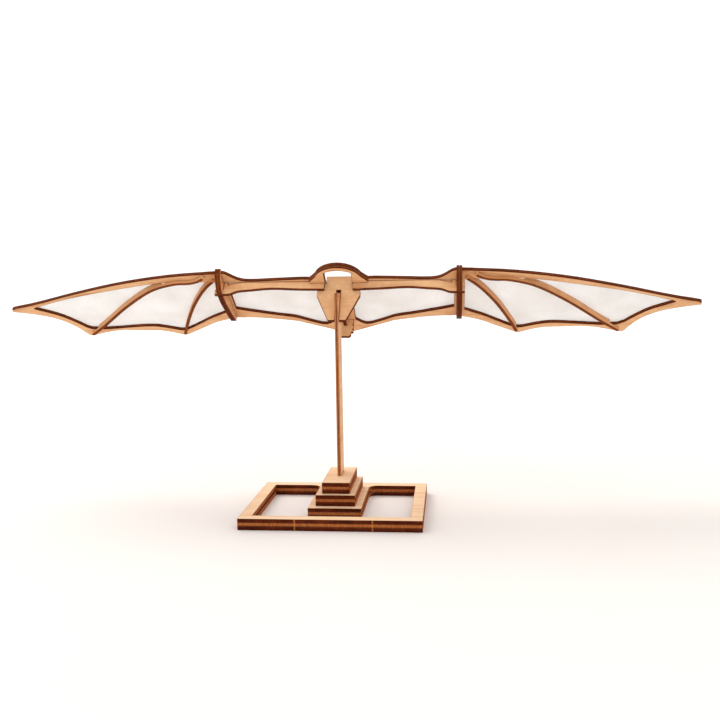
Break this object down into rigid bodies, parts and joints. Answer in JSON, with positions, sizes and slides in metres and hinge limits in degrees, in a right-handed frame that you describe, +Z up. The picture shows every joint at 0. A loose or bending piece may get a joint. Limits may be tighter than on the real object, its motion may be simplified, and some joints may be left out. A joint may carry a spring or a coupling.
{
  "type": "laser_cut_bat_wing_glider_model",
  "caption": "Laser-cut plywood model of a bat-winged glider with paper-covered wings, lifted on a slim post above a stepped board base",
  "frame": {"origin": "centre of the base frame's underside, on the table", "axes": "+X spanwise, to the right wing tip as seen from in front; +Y from the nose to the tail; +Z up along the post"},
  "size_m": [0.4054, 0.1043, 0.1364],
  "materials": {
    "board": "matte",
    "ply": "matte",
    "paper": "matte"
  },
  "bodies": {
    "stand": {"base_frame": "board", "middle_block": "board", "top_block": "board", "stand_post": "ply"},
    "glider": {"centre_wing_frame": "ply", "head_ring": "ply", "hub_shield": "ply", "keel_plate": "ply", "tail_plate": "ply", "web_left": "ply", "web_right": "ply", "rib_inner_left": "ply", "rib_inner_right": "ply", "centre_membrane_left": "paper", "centre_membrane_right": "paper"},
    "wing_left": {"outer_frame_left": "ply", "rib_outer_left": "ply", "batten_long_left": "ply", "batten_short_left": "ply", "outer_membrane_left": "paper"},
    "wing_right": {"outer_frame_right": "ply", "rib_outer_right": "ply", "batten_long_right": "ply", "batten_short_right": "ply", "outer_membrane_right": "paper"}
  },
  "joints": [
    {"name": "glider_lift", "type": "slide", "parent": "stand", "child": "glider", "axis": [0, 0, 1], "range_m": [0, 0.015]},
    {"name": "wing_left_unplug", "type": "slide", "parent": "glider", "child": "wing_left", "axis": [-1, 0, 0], "range_m": [0, 0.003]},
    {"name": "wing_right_unplug", "type": "slide", "parent": "glider", "child": "wing_right", "axis": [1, 0, 0], "range_m": [0, 0.003]}
  ]
}
